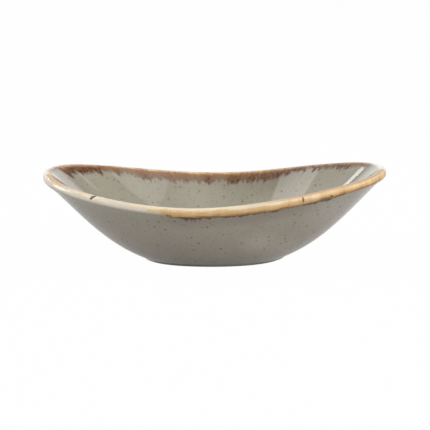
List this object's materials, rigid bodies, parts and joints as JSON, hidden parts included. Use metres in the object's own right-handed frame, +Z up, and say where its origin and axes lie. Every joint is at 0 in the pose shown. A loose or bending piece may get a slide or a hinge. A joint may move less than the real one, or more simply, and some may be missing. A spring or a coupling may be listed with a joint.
{
  "type": "mini oval dish",
  "caption": "Small oval stoneware dish with a saddle-shaped rolled lip, flared walls, a flat floor and a bare foot ring, glazed speckled grey with a brown rim band.",
  "frame": {"origin": "middle of the foot ring's standing face, on the surface that the dish stands on", "axes": "+X along the dish towards one raised end, +Y across it, +Z up"},
  "size_m": [0.12, 0.082, 0.0308],
  "materials": {
    "fired_clay": "unglazed stoneware, fine sanded",
    "grey_glaze": "glossy warm grey glaze with brown iron specks",
    "brown_band": "glossy honey to rust brown glaze, feathered into the grey"
  },
  "bodies": {
    "root": {"stoneware_body": "fired_clay", "inside_glaze": "grey_glaze", "rim_band": "brown_band", "outside_glaze": "grey_glaze", "underside_glaze": "grey_glaze"}
  },
  "joints": []
}
